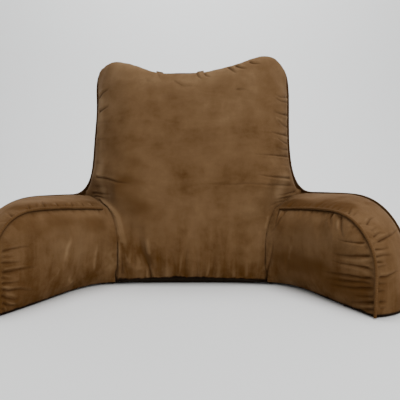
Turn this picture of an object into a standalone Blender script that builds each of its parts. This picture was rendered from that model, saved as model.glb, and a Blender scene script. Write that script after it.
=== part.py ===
"""Reading pillow with arms, standing: a filled back rest and two filled arms, sewn from panels with self piping.

Metres, +Z up. +X is the pillow's own left-to-right as the sitter's side faces the viewer, +Y runs to the rear, and the
pillow stands on Z = 0. Every panel is a patch between its seams. Sizes are worked out for the side at +X and mirrored.
"""

import math

import bmesh
import bpy
import numpy as np

# ---- Driving sizes, metres -------------------------------------------------------------------------------------------

GAP = 0.0003  # clear gap between pieces that touch
PIPING_RADIUS = 0.0024
SEAT_CORNER = (0.152, -0.004)  # plan place of the seam between back rest and arm, on the seat's side
SHOULDER = (0.252, 0.108)  # plan place of the same joint at the rear, under the shoulder corner
SHOULDER_HEIGHT = {"right": 0.184, "left": 0.179}
CORNER_LIFT = 0.008  # height of the bottom seam at the seat's corners
FRONT_LIFT = 0.014  # and at the middle of the front panel
REAR_LIFT = 0.010
BASE_INSET = 0.020  # from a bottom seam to where the base lies flat

INNER_TOP_REAR = 0.155  # height of the arm's inner arch where it meets the back rest
INNER_TOP_LEAN = 0.22  # share of the joint's depth by which that point lies behind the seat's corner
LEAN_START = 0.085  # height from which the seam between them leans back to it

TOP_SEAM_DEPTH = 0.118
ARM_CLEAR_HEIGHT = 0.200  # the front panel may swell over an arm from here up
ARM_CLEAR_BLEND = 0.040
JOINT_CLEAR = 0.0012  # how far it stays behind the joint's plane below that
FRONT_BELLY = 0.012  # how far the front panel swells past its bottom seam
FRONT_LEAN = 0.036  # how far it leans back from the belly to the crest
FRONT_LEAN_POWER = 1.6  # above 1, the lean grows towards the crest
CREST_RISE = 0.055  # lift of the front panel next to the top seam, which makes the crest stand over the seam
CREST_LIFT_REACH = 0.160
CREST_SIDE_REACH = 0.052
CREST_REACH = 0.085
CREST_FULLNESS = 2.3
SIDE_REACH = 0.100  # width of the rounded border of the front panel
SIDE_FULLNESS = 1.8  # 1 would be a flat slope and 2 a round border
ROUND = 2.0
BOTTOM_REACH = 0.040
REAR_SWELL = 0.034
REAR_SWELL_REACH = 0.110
REAR_BOTTOM_BOW = 0.022
ARM_INNER_SWELL = 0.016
ARM_OUTER_SWELL = 0.012
ARM_SWELL_REACH = 0.055
STRIP_SWELL = 0.011
FRONT_SWELL = 0.015  # the same at an arm's front end
STRIP_SWELL_REACH = 0.050
ARM_FRONT_LIFT = 0.002  # height of an arm's bottom seam at its front end
FOLD_FADE = 0.016  # the main folds die away over this width next to a seam
HANDLE_SPAN = (-0.074, 0.026)  # x of its ends
HANDLE_DEPTHS = (0.048, 0.074)  # y of its front and rear edges, on the crest
HANDLE_THICKNESS = 0.0024
HANDLE_END = 0.014  # length of each end, which is folded under to twice the thickness
HANDLE_CLEAR = 0.0006
FRAME_SHIFT = (0.0, 0.0263, 0.0)  # from the front panel's bottom seam to the middle of the pillow's box

# Steps of the patches.
ACROSS = 38
CORNER_ROWS = 8
SHOULDER_ROWS = 7
SIDE_ROWS = 18
BUNCHING = 1.5  # how much closer the steps of the back rest lie next to its outline than in the middle
RELAXING = 40
ARM_ALONG = 16
ARM_UP = 9
STRIP_ACROSS = 6
STRIP_BLEND = 5  # columns over which the strip runs from its rear end's curve into its own
ARCH_SAMPLES = 12
CORNER_SAMPLES = 20
HANDLE_STEPS = 8

# Outline seam above the shoulder, by side: x outwards, z.
SIDE_SEAM = {
    "right": [(0.234, 0.205), (0.223, 0.243), (0.217, 0.300), (0.216, 0.370), (0.215, 0.424), (0.209, 0.459)],
    "left": [(0.231, 0.203), (0.223, 0.245), (0.218, 0.306), (0.212, 0.373), (0.213, 0.424), (0.208, 0.455)],
}
# Top seam from the left ear to the right ear: x, z.
TOP_SEAM = [(-0.170, 0.453), (-0.121, 0.441), (-0.075, 0.425), (-0.024, 0.423), (0.020, 0.426), (0.085, 0.440),
            (0.128, 0.456), (0.163, 0.464)]

# Plan of an arm: its inner face at the floor and at the arch, and its outer face: x outwards, y.
INNER_BASE = [SEAT_CORNER, (0.184, -0.008), (0.218, -0.038), (0.245, -0.088), (0.271, -0.144), (0.300, -0.205)]
INNER_ARCH = [(0.187, 0.006), (0.216, -0.032), (0.250, -0.098), (0.276, -0.155), (0.300, -0.205)]
OUTER = [SHOULDER, (0.300, 0.054), (0.341, -0.004), (0.370, -0.067), (0.392, -0.128)]
INNER_OPENING = {"right": 0.0, "left": 0.013}  # how much further out the inner face ends at an arm's front

# Arches: height of the top, and the reach and drop of the rounded front corner.
ARCHES = {
    #                   top    reach  drop              top    reach  drop
    "right": {"inner": (0.165, 0.105, 0.090), "outer": (0.186, 0.150, 0.150)},
    "left": {"inner": (0.168, 0.075, 0.075), "outer": (0.180, 0.165, 0.130)},
}

# Main folds, as soft troughs: start, end (both across, up), depth and half width. A negative depth is a ridge.
BACKREST_FOLDS = [
    # across, up      across, up       depth   half width
    ((-0.110, 0.105), (-0.098, 0.058), 0.0050, 0.011),
    ((-0.098, 0.058), (-0.084, 0.018), 0.0065, 0.011),
    ((-0.150, 0.120), (-0.131, 0.045), -0.0050, 0.012),
    ((-0.018, 0.060), (-0.016, 0.015), 0.0040, 0.010),
    ((0.045, 0.068), (0.047, 0.015), 0.0045, 0.011),
    ((0.100, 0.056), (0.106, 0.015), 0.0035, 0.010),
    ((-0.054, 0.050), (-0.052, 0.015), 0.0030, 0.010),
    ((-0.195, 0.226), (-0.150, 0.216), 0.0040, 0.010),
    ((0.141, 0.274), (0.205, 0.270), 0.0045, 0.010),
    ((0.145, 0.234), (0.195, 0.230), 0.0040, 0.011),
    ((0.182, 0.390), (0.215, 0.390), 0.0040, 0.010),
    ((0.180, 0.330), (0.215, 0.322), 0.0040, 0.010),
    ((-0.185, 0.416), (-0.206, 0.392), 0.0040, 0.011),
]
# On an arm, across is the share of its length from the back rest to the front.
ARM_FOLDS = {
    "right": [
        # share, up     share, up      depth   half width
        ((0.62, 0.088), (0.96, 0.098), 0.0040, 0.010),
        ((0.61, 0.053), (0.98, 0.066), 0.0045, 0.011),
        ((0.78, 0.020), (0.99, 0.036), 0.0040, 0.010),
        ((0.56, 0.150), (0.60, 0.118), 0.0035, 0.010),
        ((0.75, 0.146), (0.77, 0.124), 0.0030, 0.010),
    ],
    "left": [
        ((0.80, 0.109), (1.00, 0.110), 0.0040, 0.010),
        ((0.79, 0.069), (1.00, 0.077), 0.0045, 0.011),
        ((0.76, 0.031), (1.00, 0.045), 0.0045, 0.011),
        ((0.27, 0.135), (0.30, 0.060), 0.0035, 0.012),
        ((0.43, 0.135), (0.47, 0.087), 0.0030, 0.011),
    ],
}

COLOURS = {  # base colour of the cloth and of the darker piping
    "cloth": (0.165, 0.092, 0.042, 1.0),
    "piping": (0.070, 0.036, 0.016, 1.0),
}


# ---- Curves and patches ----------------------------------------------------------------------------------------------

def path_through(points, shares):
    """The points at the given shares of the length of a smooth curve; a whole number means that many even steps."""
    points = np.array(points, float)
    padded = np.vstack([2 * points[0] - points[1], points, 2 * points[-1] - points[-2]])
    share = np.linspace(0, 1, 24, endpoint=False)[:, None]
    pieces = []
    for before, start, end, after in zip(padded, padded[1:], padded[2:], padded[3:]):
        bend = 2 * before - 5 * start + 4 * end - after
        twist = -before + 3 * start - 3 * end + after
        pieces.append(start + 0.5 * ((end - before) * share + bend * share**2 + twist * share**3))
    return respaced(np.vstack([*pieces, points[-1:]]), shares)


def respaced(points, shares):
    """The same polyline, with points at other shares of its length."""
    if isinstance(shares, int):
        shares = np.linspace(0, 1, shares + 1)
    lengths = np.concatenate([[0], np.cumsum(np.linalg.norm(np.diff(points, axis=0), axis=1))])
    return np.stack([np.interp(shares * lengths[-1], lengths, column) for column in points.T], axis=1)


def relaxed(grid, turns):
    """The grid with each inner point drawn towards the middle of its neighbours."""
    grid = grid.copy()
    for _ in range(turns):
        middle = (grid[:-2, 1:-1] + grid[2:, 1:-1] + grid[1:-1, :-2] + grid[1:-1, 2:]) / 4
        grid[1:-1, 1:-1] += 0.5 * (middle - grid[1:-1, 1:-1])
    return grid


def patch(bottom, top, left, right):
    """Grid of points between four seams that share their ends: rows run upwards, columns to the right."""
    up = np.linspace(0, 1, len(left))[:, None, None]
    across = np.linspace(0, 1, len(bottom))[None, :, None]
    ruled_up = (1 - up) * bottom[None] + up * top[None]
    ruled_across = (1 - across) * left[:, None] + across * right[:, None]
    corners = (1 - up) * ((1 - across) * bottom[0] + across * bottom[-1])
    corners = corners + up * ((1 - across) * top[0] + across * top[-1])
    return ruled_up + ruled_across - corners


def edge_distances(grid):
    """For each point, the way along the grid to its nearer side edge, to the bottom edge and to the top edge."""
    across = np.linalg.norm(np.diff(grid, axis=1), axis=2).cumsum(axis=1)
    across = np.pad(across, ((0, 0), (1, 0)))
    upwards = np.linalg.norm(np.diff(grid, axis=0), axis=2).cumsum(axis=0)
    upwards = np.pad(upwards, ((1, 0), (0, 0)))
    return np.minimum(across, across[:, -1:] - across), upwards, upwards[-1:] - upwards


def round_edge(distance, reach, fullness):
    """0 at a seam, rising steeply and level at 1 from reach on."""
    rest = 1 - np.clip(distance / reach, 0, 1)
    return (1 - rest**fullness) ** (1 / fullness)


def soft_edge(distance, reach):
    """0 at a seam, rising at an even slope and level at 1 from reach on."""
    return 1 - (1 - np.clip(distance / reach, 0, 1)) ** 2


def smooth_step(value, low, high):
    share = np.clip((value - low) / (high - low), 0, 1)
    return share * share * (3 - 2 * share)


def normals(grid):
    """Unit normals of a grid: columns crossed with rows."""
    crossed = np.cross(np.gradient(grid, axis=1), np.gradient(grid, axis=0))
    return crossed / np.maximum(np.linalg.norm(crossed, axis=2, keepdims=True), 1e-9)


def swell(grid, height, reach, outwards):
    """The grid bulged along its normals, away from all four seams; outwards is a vector on the bulge's side."""
    sides, bottom, top = edge_distances(grid)
    share = soft_edge(sides, reach) * soft_edge(bottom, reach) * soft_edge(top, reach)
    direction = normals(grid)
    direction *= np.sign((direction * outwards).sum(axis=2, keepdims=True).mean())
    return grid + direction * (height * share)[:, :, None]


def trough(across, up, folds):
    """Depth of the folds at each place."""
    total = np.zeros_like(across)
    for start, end, depth, half_width in folds:
        (x0, z0), (x1, z1) = start, end
        run = (x1 - x0) ** 2 + (z1 - z0) ** 2
        share = np.clip(((across - x0) * (x1 - x0) + (up - z0) * (z1 - z0)) / run, 0, 1)
        away = (across - x0 - share * (x1 - x0)) ** 2 + (up - z0 - share * (z1 - z0)) ** 2
        total += depth * np.exp(-away / half_width**2)
    return total


# ---- The joint between back rest and arm -----------------------------------------------------------------------------

def joint_point(share, height, clear=0.0):
    """A point of the joint's upright plane: share 0 at the seat's corner, 1 at the shoulder; clear is off the plane."""
    run = np.subtract(SHOULDER, SEAT_CORNER)
    length = np.linalg.norm(run)
    place = np.array(SEAT_CORNER) + share * run + clear * np.array([run[1], -run[0]]) / length
    return [place[0], place[1], height]


def joint_lean(height):
    """Share of the joint's depth at which the seat-side seam lies, by height."""
    return INNER_TOP_LEAN * float(np.clip((height - LEAN_START) / (INNER_TOP_REAR - LEAN_START), 0, 1)) ** 2


def corner_seam(rows, clear=0.0):
    """Seam between the front panel and the arm's inner panel, bottom to top."""
    heights = np.linspace(CORNER_LIFT, INNER_TOP_REAR, rows + 1)
    return np.array([joint_point(joint_lean(z), z, clear) for z in heights])


def shoulder_seam(side, steps, clear=0.0):
    """Seam across the end of the arm's strip, from the inner arch to the shoulder corner."""
    turns = np.linspace(0, 1, steps + 1)
    rise = SHOULDER_HEIGHT[side] - INNER_TOP_REAR
    return np.array([
        joint_point(INNER_TOP_LEAN + (1 - INNER_TOP_LEAN) * turn, INNER_TOP_REAR + rise * math.sin(turn * math.pi / 2),
                    clear)
        for turn in turns
    ])


def rear_line(side, rows, clear=0.0):
    """Rear edge of the joint, bottom to the shoulder corner."""
    heights = np.linspace(REAR_LIFT, SHOULDER_HEIGHT[side], rows + 1)
    return np.array([joint_point(1.0, z, clear) for z in heights])


def joint_depth(x):
    """y of the joint's plane at a given x."""
    slope = (SHOULDER[1] - SEAT_CORNER[1]) / (SHOULDER[0] - SEAT_CORNER[0])
    return SEAT_CORNER[1] + (np.abs(x) - SEAT_CORNER[0]) * slope


def mirrored(points, side):
    return points if side == "right" else points * [-1, 1, 1]


# ---- Back rest -------------------------------------------------------------------------------------------------------

def outline_side(side):
    """Outline seam from the shoulder corner to the ear's corner."""
    low, high = SHOULDER_HEIGHT[side], SIDE_SEAM[side][-1][1]
    points = [(*SHOULDER, low)]
    for x, z in SIDE_SEAM[side]:
        lean = (z - low) / (high - low)
        points.append((x, SHOULDER[1] + (TOP_SEAM_DEPTH - SHOULDER[1]) * lean, z))
    shares = 1 - (1 - np.linspace(0, 1, SIDE_ROWS + 1)) ** BUNCHING
    return mirrored(path_through(points, shares), side)


def column_places():
    """Places of the back rest's columns, from -1 at its left side to 1 at its right."""
    places = np.linspace(-1, 1, ACROSS + 1)
    return np.sign(places) * (1 - (1 - np.abs(places)) ** BUNCHING)


def outline_top():
    """Outline seam from the left ear's corner to the right ear's corner."""
    left, right = (SIDE_SEAM[side][-1] for side in ("left", "right"))
    points = [(-left[0], left[1]), *TOP_SEAM, right]
    return path_through([(x, TOP_SEAM_DEPTH, z) for x, z in points], (column_places() + 1) / 2)


def front_side(side):
    """Side edge of the front panel: corner seam, shoulder seam, outline seam."""
    lower = np.vstack([corner_seam(CORNER_ROWS)[:-1], shoulder_seam(side, SHOULDER_ROWS)])
    return np.vstack([mirrored(lower, side)[:-1], outline_side(side)])


def rear_side(side):
    lower = mirrored(rear_line(side, CORNER_ROWS + SHOULDER_ROWS), side)
    return np.vstack([lower[:-1], outline_side(side)])


def front_bottom():
    """Bottom seam of the front panel, left to right."""
    shares = column_places()
    x = shares * SEAT_CORNER[0]
    y = SEAT_CORNER[1] * shares**2
    z = CORNER_LIFT + (FRONT_LIFT - CORNER_LIFT) * (1 - shares**4)
    return np.stack([x, y, z], axis=1)


def rear_bottom():
    shares = column_places()
    y = SHOULDER[1] + REAR_BOTTOM_BOW * (1 - shares**2)
    return np.stack([shares * SHOULDER[0], y, np.full_like(shares, REAR_LIFT)], axis=1)


def front_panel():
    """Front panel: full in the middle, rounded to its seams, with the crest over the top seam and the main folds."""
    grid = relaxed(patch(front_bottom(), outline_top(), front_side("left"), front_side("right")), RELAXING)
    flat = grid * [1, 0, 1]
    sides, bottom, top = edge_distances(flat)
    x, z = grid[:, :, 0], grid[:, :, 2]

    lowest_top = min(height for _, height in TOP_SEAM)
    full_depth = -FRONT_BELLY + FRONT_LEAN * np.clip(z / lowest_top, 0, 1) ** FRONT_LEAN_POWER
    fullness = round_edge(sides, SIDE_REACH, SIDE_FULLNESS)
    fullness *= round_edge(top, CREST_REACH, CREST_FULLNESS) * round_edge(bottom, BOTTOM_REACH, ROUND)
    depth = grid[:, :, 1] + (full_depth - grid[:, :, 1]) * fullness

    # Low down the border stays on its own side of the joint with the arm.
    over_arm = smooth_step(z, ARM_CLEAR_HEIGHT, ARM_CLEAR_HEIGHT + ARM_CLEAR_BLEND)
    behind_joint = np.maximum(depth, joint_depth(x) + JOINT_CLEAR)
    depth = np.where((sides > 0) & (bottom > 0) & (top > 0), depth * over_arm + behind_joint * (1 - over_arm), depth)

    share = np.clip(top / CREST_LIFT_REACH, 0, 1)
    bump = 27 / 4 * share * (1 - share) ** 2  # 1 at its highest
    rise = CREST_RISE * bump * round_edge(sides, CREST_SIDE_REACH, ROUND)
    grid = np.stack([x, depth, z + rise], axis=2)

    direction = normals(grid)
    direction *= -np.sign(direction[:, :, 1].mean())
    inside = soft_edge(sides, FOLD_FADE) * soft_edge(bottom, FOLD_FADE) * soft_edge(top, FOLD_FADE)
    return grid - direction * (trough(x, z, BACKREST_FOLDS) * inside)[:, :, None]


def rear_panel():
    grid = patch(rear_bottom(), outline_top(), rear_side("left"), rear_side("right"))
    return swell(grid, REAR_SWELL, REAR_SWELL_REACH, np.array([0, 1, 0]))


def base_row(seam, rearwards, side_slope):
    """Row of base points on the floor, one inset inside a bottom seam and along the joints at its ends."""
    shares = column_places()
    row = seam.copy()
    row[:, 0] += shares * side_slope * BASE_INSET * rearwards
    row[:, 1] += BASE_INSET * rearwards
    row[:, 2] = 0
    return row


def make_backrest(shell):
    front, rear = front_panel(), rear_panel()
    slope = (SHOULDER[0] - SEAT_CORNER[0]) / (SHOULDER[1] - SEAT_CORNER[1])
    front_row = base_row(front[0], 1, slope)
    rear_row = base_row(rear[0], -1, slope)
    shell.grid(front)
    shell.grid(rear)
    shell.grid(np.stack([front[0], front_row]))
    shell.grid(np.stack([rear[0], rear_row]))
    shell.grid(np.stack([front_row, rear_row]))
    for column in (0, -1):
        lower_rows = CORNER_ROWS + SHOULDER_ROWS
        ring = [*front[: lower_rows + 1, column], *rear[:lower_rows, column][::-1], rear_row[column], front_row[column]]
        shell.polygon(ring)
    return front, rear


# ---- Arms ------------------------------------------------------------------------------------------------------------

def arch_seam(plan, rear_height, top, reach, drop):
    """Seam over an arm, from the back rest over the rounded front corner to the floor, as two stretches."""
    run = path_through(plan, 4 * ARM_ALONG)
    along = np.concatenate([[0], np.cumsum(np.linalg.norm(np.diff(run, axis=0), axis=1))])
    length = along[-1]
    start = length - reach
    level = [(s, rear_height + (top - rear_height) * math.sin(s / start * math.pi / 2))
             for s in np.linspace(0, start, ARCH_SAMPLES, endpoint=False)]
    turns = np.linspace(0, math.pi / 2, CORNER_SAMPLES + 1)
    corner = [(start + reach * math.sin(turn), top - drop + drop * math.cos(turn)) for turn in turns]
    split = ARCH_SAMPLES + CORNER_SAMPLES // 2

    def placed(profile, steps):
        s, z = np.array(profile).T
        return respaced(np.stack([np.interp(s, along, run[:, 0]), np.interp(s, along, run[:, 1]), z], axis=1), steps)

    profile = [*level, *corner, (length, ARM_FRONT_LIFT)]
    return placed(profile[: split + 1], ARM_ALONG), placed(profile[split:], ARM_UP)


def opened(plan, side):
    """The plan of an arm's inner face, opened outwards towards its front."""
    plan = np.array(plan, float)
    share = (plan[:, 0] - plan[0, 0]) / (plan[-1, 0] - plan[0, 0])
    plan[:, 0] += INNER_OPENING[side] * share**2
    return plan


def arm_seams(side):
    """The seams of an arm at +X: base, arch and front of both faces, and the two edges of its rear end."""
    corner = corner_seam(ARM_UP, GAP)
    rear = rear_line(side, ARM_UP, GAP)
    inner_plan = opened([corner[-1][:2], *INNER_ARCH], side)
    inner_base = opened([corner[0][:2], *INNER_BASE[1:]], side)
    outer_plan = [rear[-1][:2], *OUTER[1:]]
    inner_top, inner_front = arch_seam(inner_plan, INNER_TOP_REAR, *ARCHES[side]["inner"])
    outer_top, outer_front = arch_seam(outer_plan, SHOULDER_HEIGHT[side], *ARCHES[side]["outer"])
    return {
        "inner": (floor_seam(inner_base, CORNER_LIFT), inner_top, corner, inner_front[::-1]),
        "outer": (floor_seam([rear[0][:2], *OUTER[1:]], REAR_LIFT), outer_top, rear, outer_front[::-1]),
    }


def floor_seam(plan, rear_lift):
    """Bottom seam of an arm's face, sinking from its lift at the back rest to the front."""
    run = path_through(plan, ARM_ALONG)
    shares = np.linspace(0, 1, ARM_ALONG + 1)
    return np.column_stack([run, ARM_FRONT_LIFT + (rear_lift - ARM_FRONT_LIFT) * (1 - shares) ** 2])


def arm_panels(side):
    """Inner face, outer face and strip of an arm at +X."""
    seams = arm_seams(side)
    inner = swell(patch(*seams["inner"]), ARM_INNER_SWELL, ARM_SWELL_REACH, np.array([-1, -0.5, 0]))
    outer = swell(patch(*seams["outer"]), ARM_OUTER_SWELL, ARM_SWELL_REACH, np.array([1, 0.5, 0]))

    shares = np.linspace(0, 1, ARM_ALONG + 1)[None, :] * np.ones((ARM_UP + 1, 1))
    folds = ARM_FOLDS[side]
    length = np.linalg.norm(inner[0, -1] - inner[0, 0])
    scaled = [((a * length, b), (c * length, d), depth, width) for (a, b), (c, d), depth, width in folds]
    sides, bottom, top = edge_distances(inner)
    inside = soft_edge(sides, FOLD_FADE) * soft_edge(bottom, FOLD_FADE) * soft_edge(top, FOLD_FADE)
    direction = normals(inner)
    direction *= np.sign((direction * [-1, -0.5, 0]).sum(axis=2).mean())
    inner = inner - direction * (trough(shares * length, inner[:, :, 2], scaled) * inside)[:, :, None]

    inner_arch = np.vstack([inner[-1], inner[::-1, -1][1:]])
    outer_arch = np.vstack([outer[-1], outer[::-1, -1][1:]])
    across = np.linspace(0, 1, STRIP_ACROSS + 1)[:, None, None]
    strip = inner_arch[None] * (1 - across) + outer_arch[None] * across
    rear_end = shoulder_seam(side, STRIP_ACROSS, GAP)
    fade = np.linspace(1, 0, STRIP_BLEND)[None, :, None] ** 2
    strip[:, :STRIP_BLEND] += (rear_end[:, None] - strip[:, :1]) * fade
    strip = swell_strip(strip)
    return inner, outer, strip


def swell_strip(strip):
    """The strip bulged up and forwards, away from both arches and the back rest."""
    _, from_inner, from_outer = edge_distances(strip)
    along = np.linalg.norm(np.diff(strip, axis=1), axis=2).cumsum(axis=1)
    along = np.pad(along, ((0, 0), (1, 0)))
    share = soft_edge(from_inner, STRIP_SWELL_REACH) * soft_edge(from_outer, STRIP_SWELL_REACH)
    share *= soft_edge(along, STRIP_SWELL_REACH)
    height = STRIP_SWELL + (FRONT_SWELL - STRIP_SWELL) * smooth_step(along / along[:, -1:], 0.5, 0.9)
    direction = normals(strip)
    direction *= np.sign(direction[:, : ARM_ALONG // 2, 2].mean())
    direction[:, -1, 2] = 0
    return strip + direction * (height * share)[:, :, None]


def arm_base(inner, outer, strip):
    """Bottom seam of the arm from the joint's front, round its front end, to the joint's rear, and its inset row."""
    seam = np.vstack([inner[0], strip[1:-1, -1], outer[0, ::-1]])
    front = ARM_ALONG
    middle = (inner[0] + outer[0]) / 2
    middle = np.vstack([middle, np.repeat(middle[-1:], len(strip) - 2, axis=0), middle[::-1]])
    inset_end = 1 - BASE_INSET / np.linalg.norm(middle[0] - middle[front])
    stop = middle[0] + (middle[front] - middle[0]) * inset_end
    row = []
    for point, centre in zip(seam, middle):
        way = centre - point
        inset = point + way * min(1.0, BASE_INSET / max(np.linalg.norm(way[:2]), 1e-6))
        beyond = np.dot(inset[:2] - stop[:2], (middle[front] - middle[0])[:2])
        heading = (middle[front] - middle[0])[:2]
        if beyond > 0:
            inset[:2] -= heading * beyond / np.dot(heading, heading)
        inset[2] = 0
        row.append(inset)
    return seam, np.array(row)


def make_arm(shell, side):
    inner, outer, strip = (mirrored(panel, side) for panel in arm_panels(side))
    seam, row = arm_base(inner, outer, strip)
    shell.grid(inner)
    shell.grid(outer)
    shell.grid(strip)
    shell.grid(np.stack([seam, row]))
    shell.polygon(row)
    shell.polygon([*inner[:, 0], *strip[1:, 0], *outer[:-1, 0][::-1], row[-1], row[0]])
    return inner, outer, strip


# ---- Solids ----------------------------------------------------------------------------------------------------------

class Shell:
    """A closed surface gathered from grids and polygons, welded along their seams."""

    def __init__(self):
        self.mesh = bmesh.new()

    def grid(self, points):
        rows = [[self.mesh.verts.new(point) for point in row] for row in points]
        for low, high in zip(rows, rows[1:]):
            for corners in zip(low, low[1:], high[1:], high):
                self.mesh.faces.new(corners)

    def polygon(self, points):
        self.mesh.faces.new([self.mesh.verts.new(point) for point in points])

    def finish(self, name, collection, material):
        bmesh.ops.remove_doubles(self.mesh, verts=self.mesh.verts, dist=2e-6)
        bmesh.ops.recalc_face_normals(self.mesh, faces=self.mesh.faces)
        if self.mesh.calc_volume(signed=True) < 0:
            bmesh.ops.reverse_faces(self.mesh, faces=self.mesh.faces)
        data = bpy.data.meshes.new(name)
        self.mesh.to_mesh(data)
        self.mesh.free()
        data.shade_smooth()
        data.set_sharp_from_angle(angle=math.radians(50))
        data.materials.append(material)
        return add_item(bpy.data.objects.new(name, data), collection)


def make_material(name, colour):
    material = bpy.data.materials.new(name)
    material.use_nodes = True
    surface = material.node_tree.nodes["Principled BSDF"]
    surface.inputs["Base Color"].default_value = colour
    surface.inputs["Roughness"].default_value = 0.9
    surface.inputs["Metallic"].default_value = 0.0
    return material


def add_item(item, collection):
    item.location = FRAME_SHIFT
    collection.objects.link(item)
    return item


def crest_height(front, x, y):
    """Height of the front panel's upper side at a place on the crest."""
    rows = front[CORNER_ROWS + SHOULDER_ROWS + SIDE_ROWS // 2:]
    columns = [[np.interp(x, row[:, 0], row[:, axis]) for row in rows[::-1]] for axis in (1, 2)]
    depths, heights = np.array(columns)
    return np.interp(y, depths[::-1], heights[::-1])


def make_handle(shell, front):
    """Flat strap lying on the crest, with its ends folded under and sewn down."""
    start, end = HANDLE_SPAN
    single = np.linspace(start + HANDLE_END + HANDLE_CLEAR, end - HANDLE_END - HANDLE_CLEAR, HANDLE_STEPS + 1)
    stations = [start, start + HANDLE_END, *single, end - HANDLE_END, end]
    across = np.linspace(*HANDLE_DEPTHS, HANDLE_STEPS // 2 + 1)
    rings = []
    for x in stations:
        folded = x <= start + HANDLE_END or x >= end - HANDLE_END
        under = np.array([[x, y, crest_height(front, x, y) + HANDLE_CLEAR] for y in across])
        over = under + [0, 0, HANDLE_THICKNESS * (2 if folded else 1)]
        rings.append(np.vstack([under, over[::-1], under[:1]]))
    shell.grid(np.array(rings))
    shell.polygon(rings[0][:-1])
    shell.polygon(rings[-1][:-1])


def make_piping(name, seam, outwards, collection, material):
    """A round tube laid along a seam, just clear of the panels on both sides."""
    curve = bpy.data.curves.new(name, "CURVE")
    curve.dimensions = "3D"
    curve.bevel_depth = PIPING_RADIUS
    curve.bevel_resolution = 1
    curve.use_fill_caps = True
    centre = seam + outwards * (PIPING_RADIUS + GAP)
    line = curve.splines.new("POLY")
    line.points.add(len(centre) - 1)
    for spot, point in zip(line.points, centre):
        spot.co = (*point, 1)
    curve.materials.append(material)
    add_item(bpy.data.objects.new(name, curve), collection)


def bisector(first, second):
    total = first + second
    return total / np.linalg.norm(total, axis=-1, keepdims=True)


def outward_normals(grid, inside):
    """Unit normals pointing away from a point inside the solid."""
    direction = normals(grid)
    return direction * np.sign((direction * (grid - inside)).sum(axis=2, keepdims=True))


def clean_scene():
    for item in list(bpy.data.objects):
        bpy.data.objects.remove(item, do_unlink=True)


def build():
    clean_scene()
    parts = bpy.data.collections.new("reading_pillow")
    bpy.context.scene.collection.children.link(parts)
    cloth = make_material("cloth", COLOURS["cloth"])
    piping = make_material("piping", COLOURS["piping"])

    shell = Shell()
    front, rear = make_backrest(shell)
    shell.finish("backrest", parts, cloth)
    heart = (front.mean(axis=(0, 1)) + rear.mean(axis=(0, 1))) / 2
    seam_rows = slice(CORNER_ROWS + SHOULDER_ROWS, None)
    edge_out = bisector(outward_normals(front, heart), outward_normals(rear, heart))

    halves = {}
    for side in ("left", "right"):
        shell = Shell()
        inner, outer, strip = make_arm(shell, side)
        shell.finish(f"arm_{side}", parts, cloth)
        middle = (inner.mean(axis=(0, 1)) + outer.mean(axis=(0, 1))) / 2
        inner_out = outward_normals(inner, middle)
        outer_out = outward_normals(outer, middle)
        strip_out = outward_normals(strip, middle)
        inner_arch = np.vstack([inner[-1], inner[::-1, -1][1:]])
        outer_arch = np.vstack([outer[-1], outer[::-1, -1][1:]])
        inner_edge = np.vstack([inner_out[-1], inner_out[::-1, -1][1:]])
        outer_edge = np.vstack([outer_out[-1], outer_out[::-1, -1][1:]])
        make_piping(f"piping_arm_{side}", inner_arch[1:], bisector(inner_edge, strip_out[0])[1:], parts, piping)
        halves[side] = (outer_arch[::-1], bisector(outer_edge, strip_out[-1])[::-1])

    left_arch, left_out = halves["left"]
    right_arch, right_out = halves["right"]
    seam = np.vstack([
        left_arch[:-1], front[seam_rows, 0], front[-1, 1:-1], front[seam_rows, -1][::-1], right_arch[::-1][1:]])
    out = np.vstack([
        left_out[:-1], edge_out[seam_rows, 0], edge_out[-1, 1:-1], edge_out[seam_rows, -1][::-1], right_out[::-1][1:]])
    make_piping("piping_outline", seam, out, parts, piping)

    shell = Shell()
    make_handle(shell, front)
    shell.finish("handle", parts, cloth)


build()
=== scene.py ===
"""Looks of a standing reading pillow with arms: brown faux suede over a soft filling, with piped seams.

Metres, in the frame's own axes: +Z is up, the sitter's side faces -Y and +X is to its right. Each
filled body is its solid's surface laid out as an even net, settled as loose cloth between its seams,
and then gathered, creased and brushed, with painted light and shade.
"""

import math

import bmesh
import bpy
import numpy as np
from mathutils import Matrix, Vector, noise
from mathutils.bvhtree import BVHTree
from mathutils.kdtree import KDTree


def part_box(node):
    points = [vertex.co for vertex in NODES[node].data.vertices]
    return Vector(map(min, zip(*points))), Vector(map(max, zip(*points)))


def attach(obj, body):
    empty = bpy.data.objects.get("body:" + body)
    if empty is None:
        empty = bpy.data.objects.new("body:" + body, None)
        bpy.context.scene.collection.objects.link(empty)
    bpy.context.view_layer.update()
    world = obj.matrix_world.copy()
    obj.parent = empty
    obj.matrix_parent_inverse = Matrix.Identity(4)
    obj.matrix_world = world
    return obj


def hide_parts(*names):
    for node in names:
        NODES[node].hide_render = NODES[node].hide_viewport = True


# ---- Sizes, metres -------------------------------------------------------------------------------

EYE = (0.018, -0.8717, 0.2422)  # the camera's place
EYE_PITCH = math.radians(4.16)  # how far it looks down
FOCAL_PIXELS = 440
PICTURE_PIXELS = 400
SENSOR = 36.0  # millimetres

BODIES = ("backrest", "arm_right", "arm_left")
SEAT_CORNER = (0.152, 0.0223)  # plan place of the seam between back rest and arm
ARM_FRONT = (0.300, -0.1787)  # plan place of the inner face's front end
FAR = 1.0  # further than anything on the pillow
SAME_PLACE = 1e-6  # points of a solid this near each other are one
MILLIMETRES = 1000  # in a metre

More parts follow.
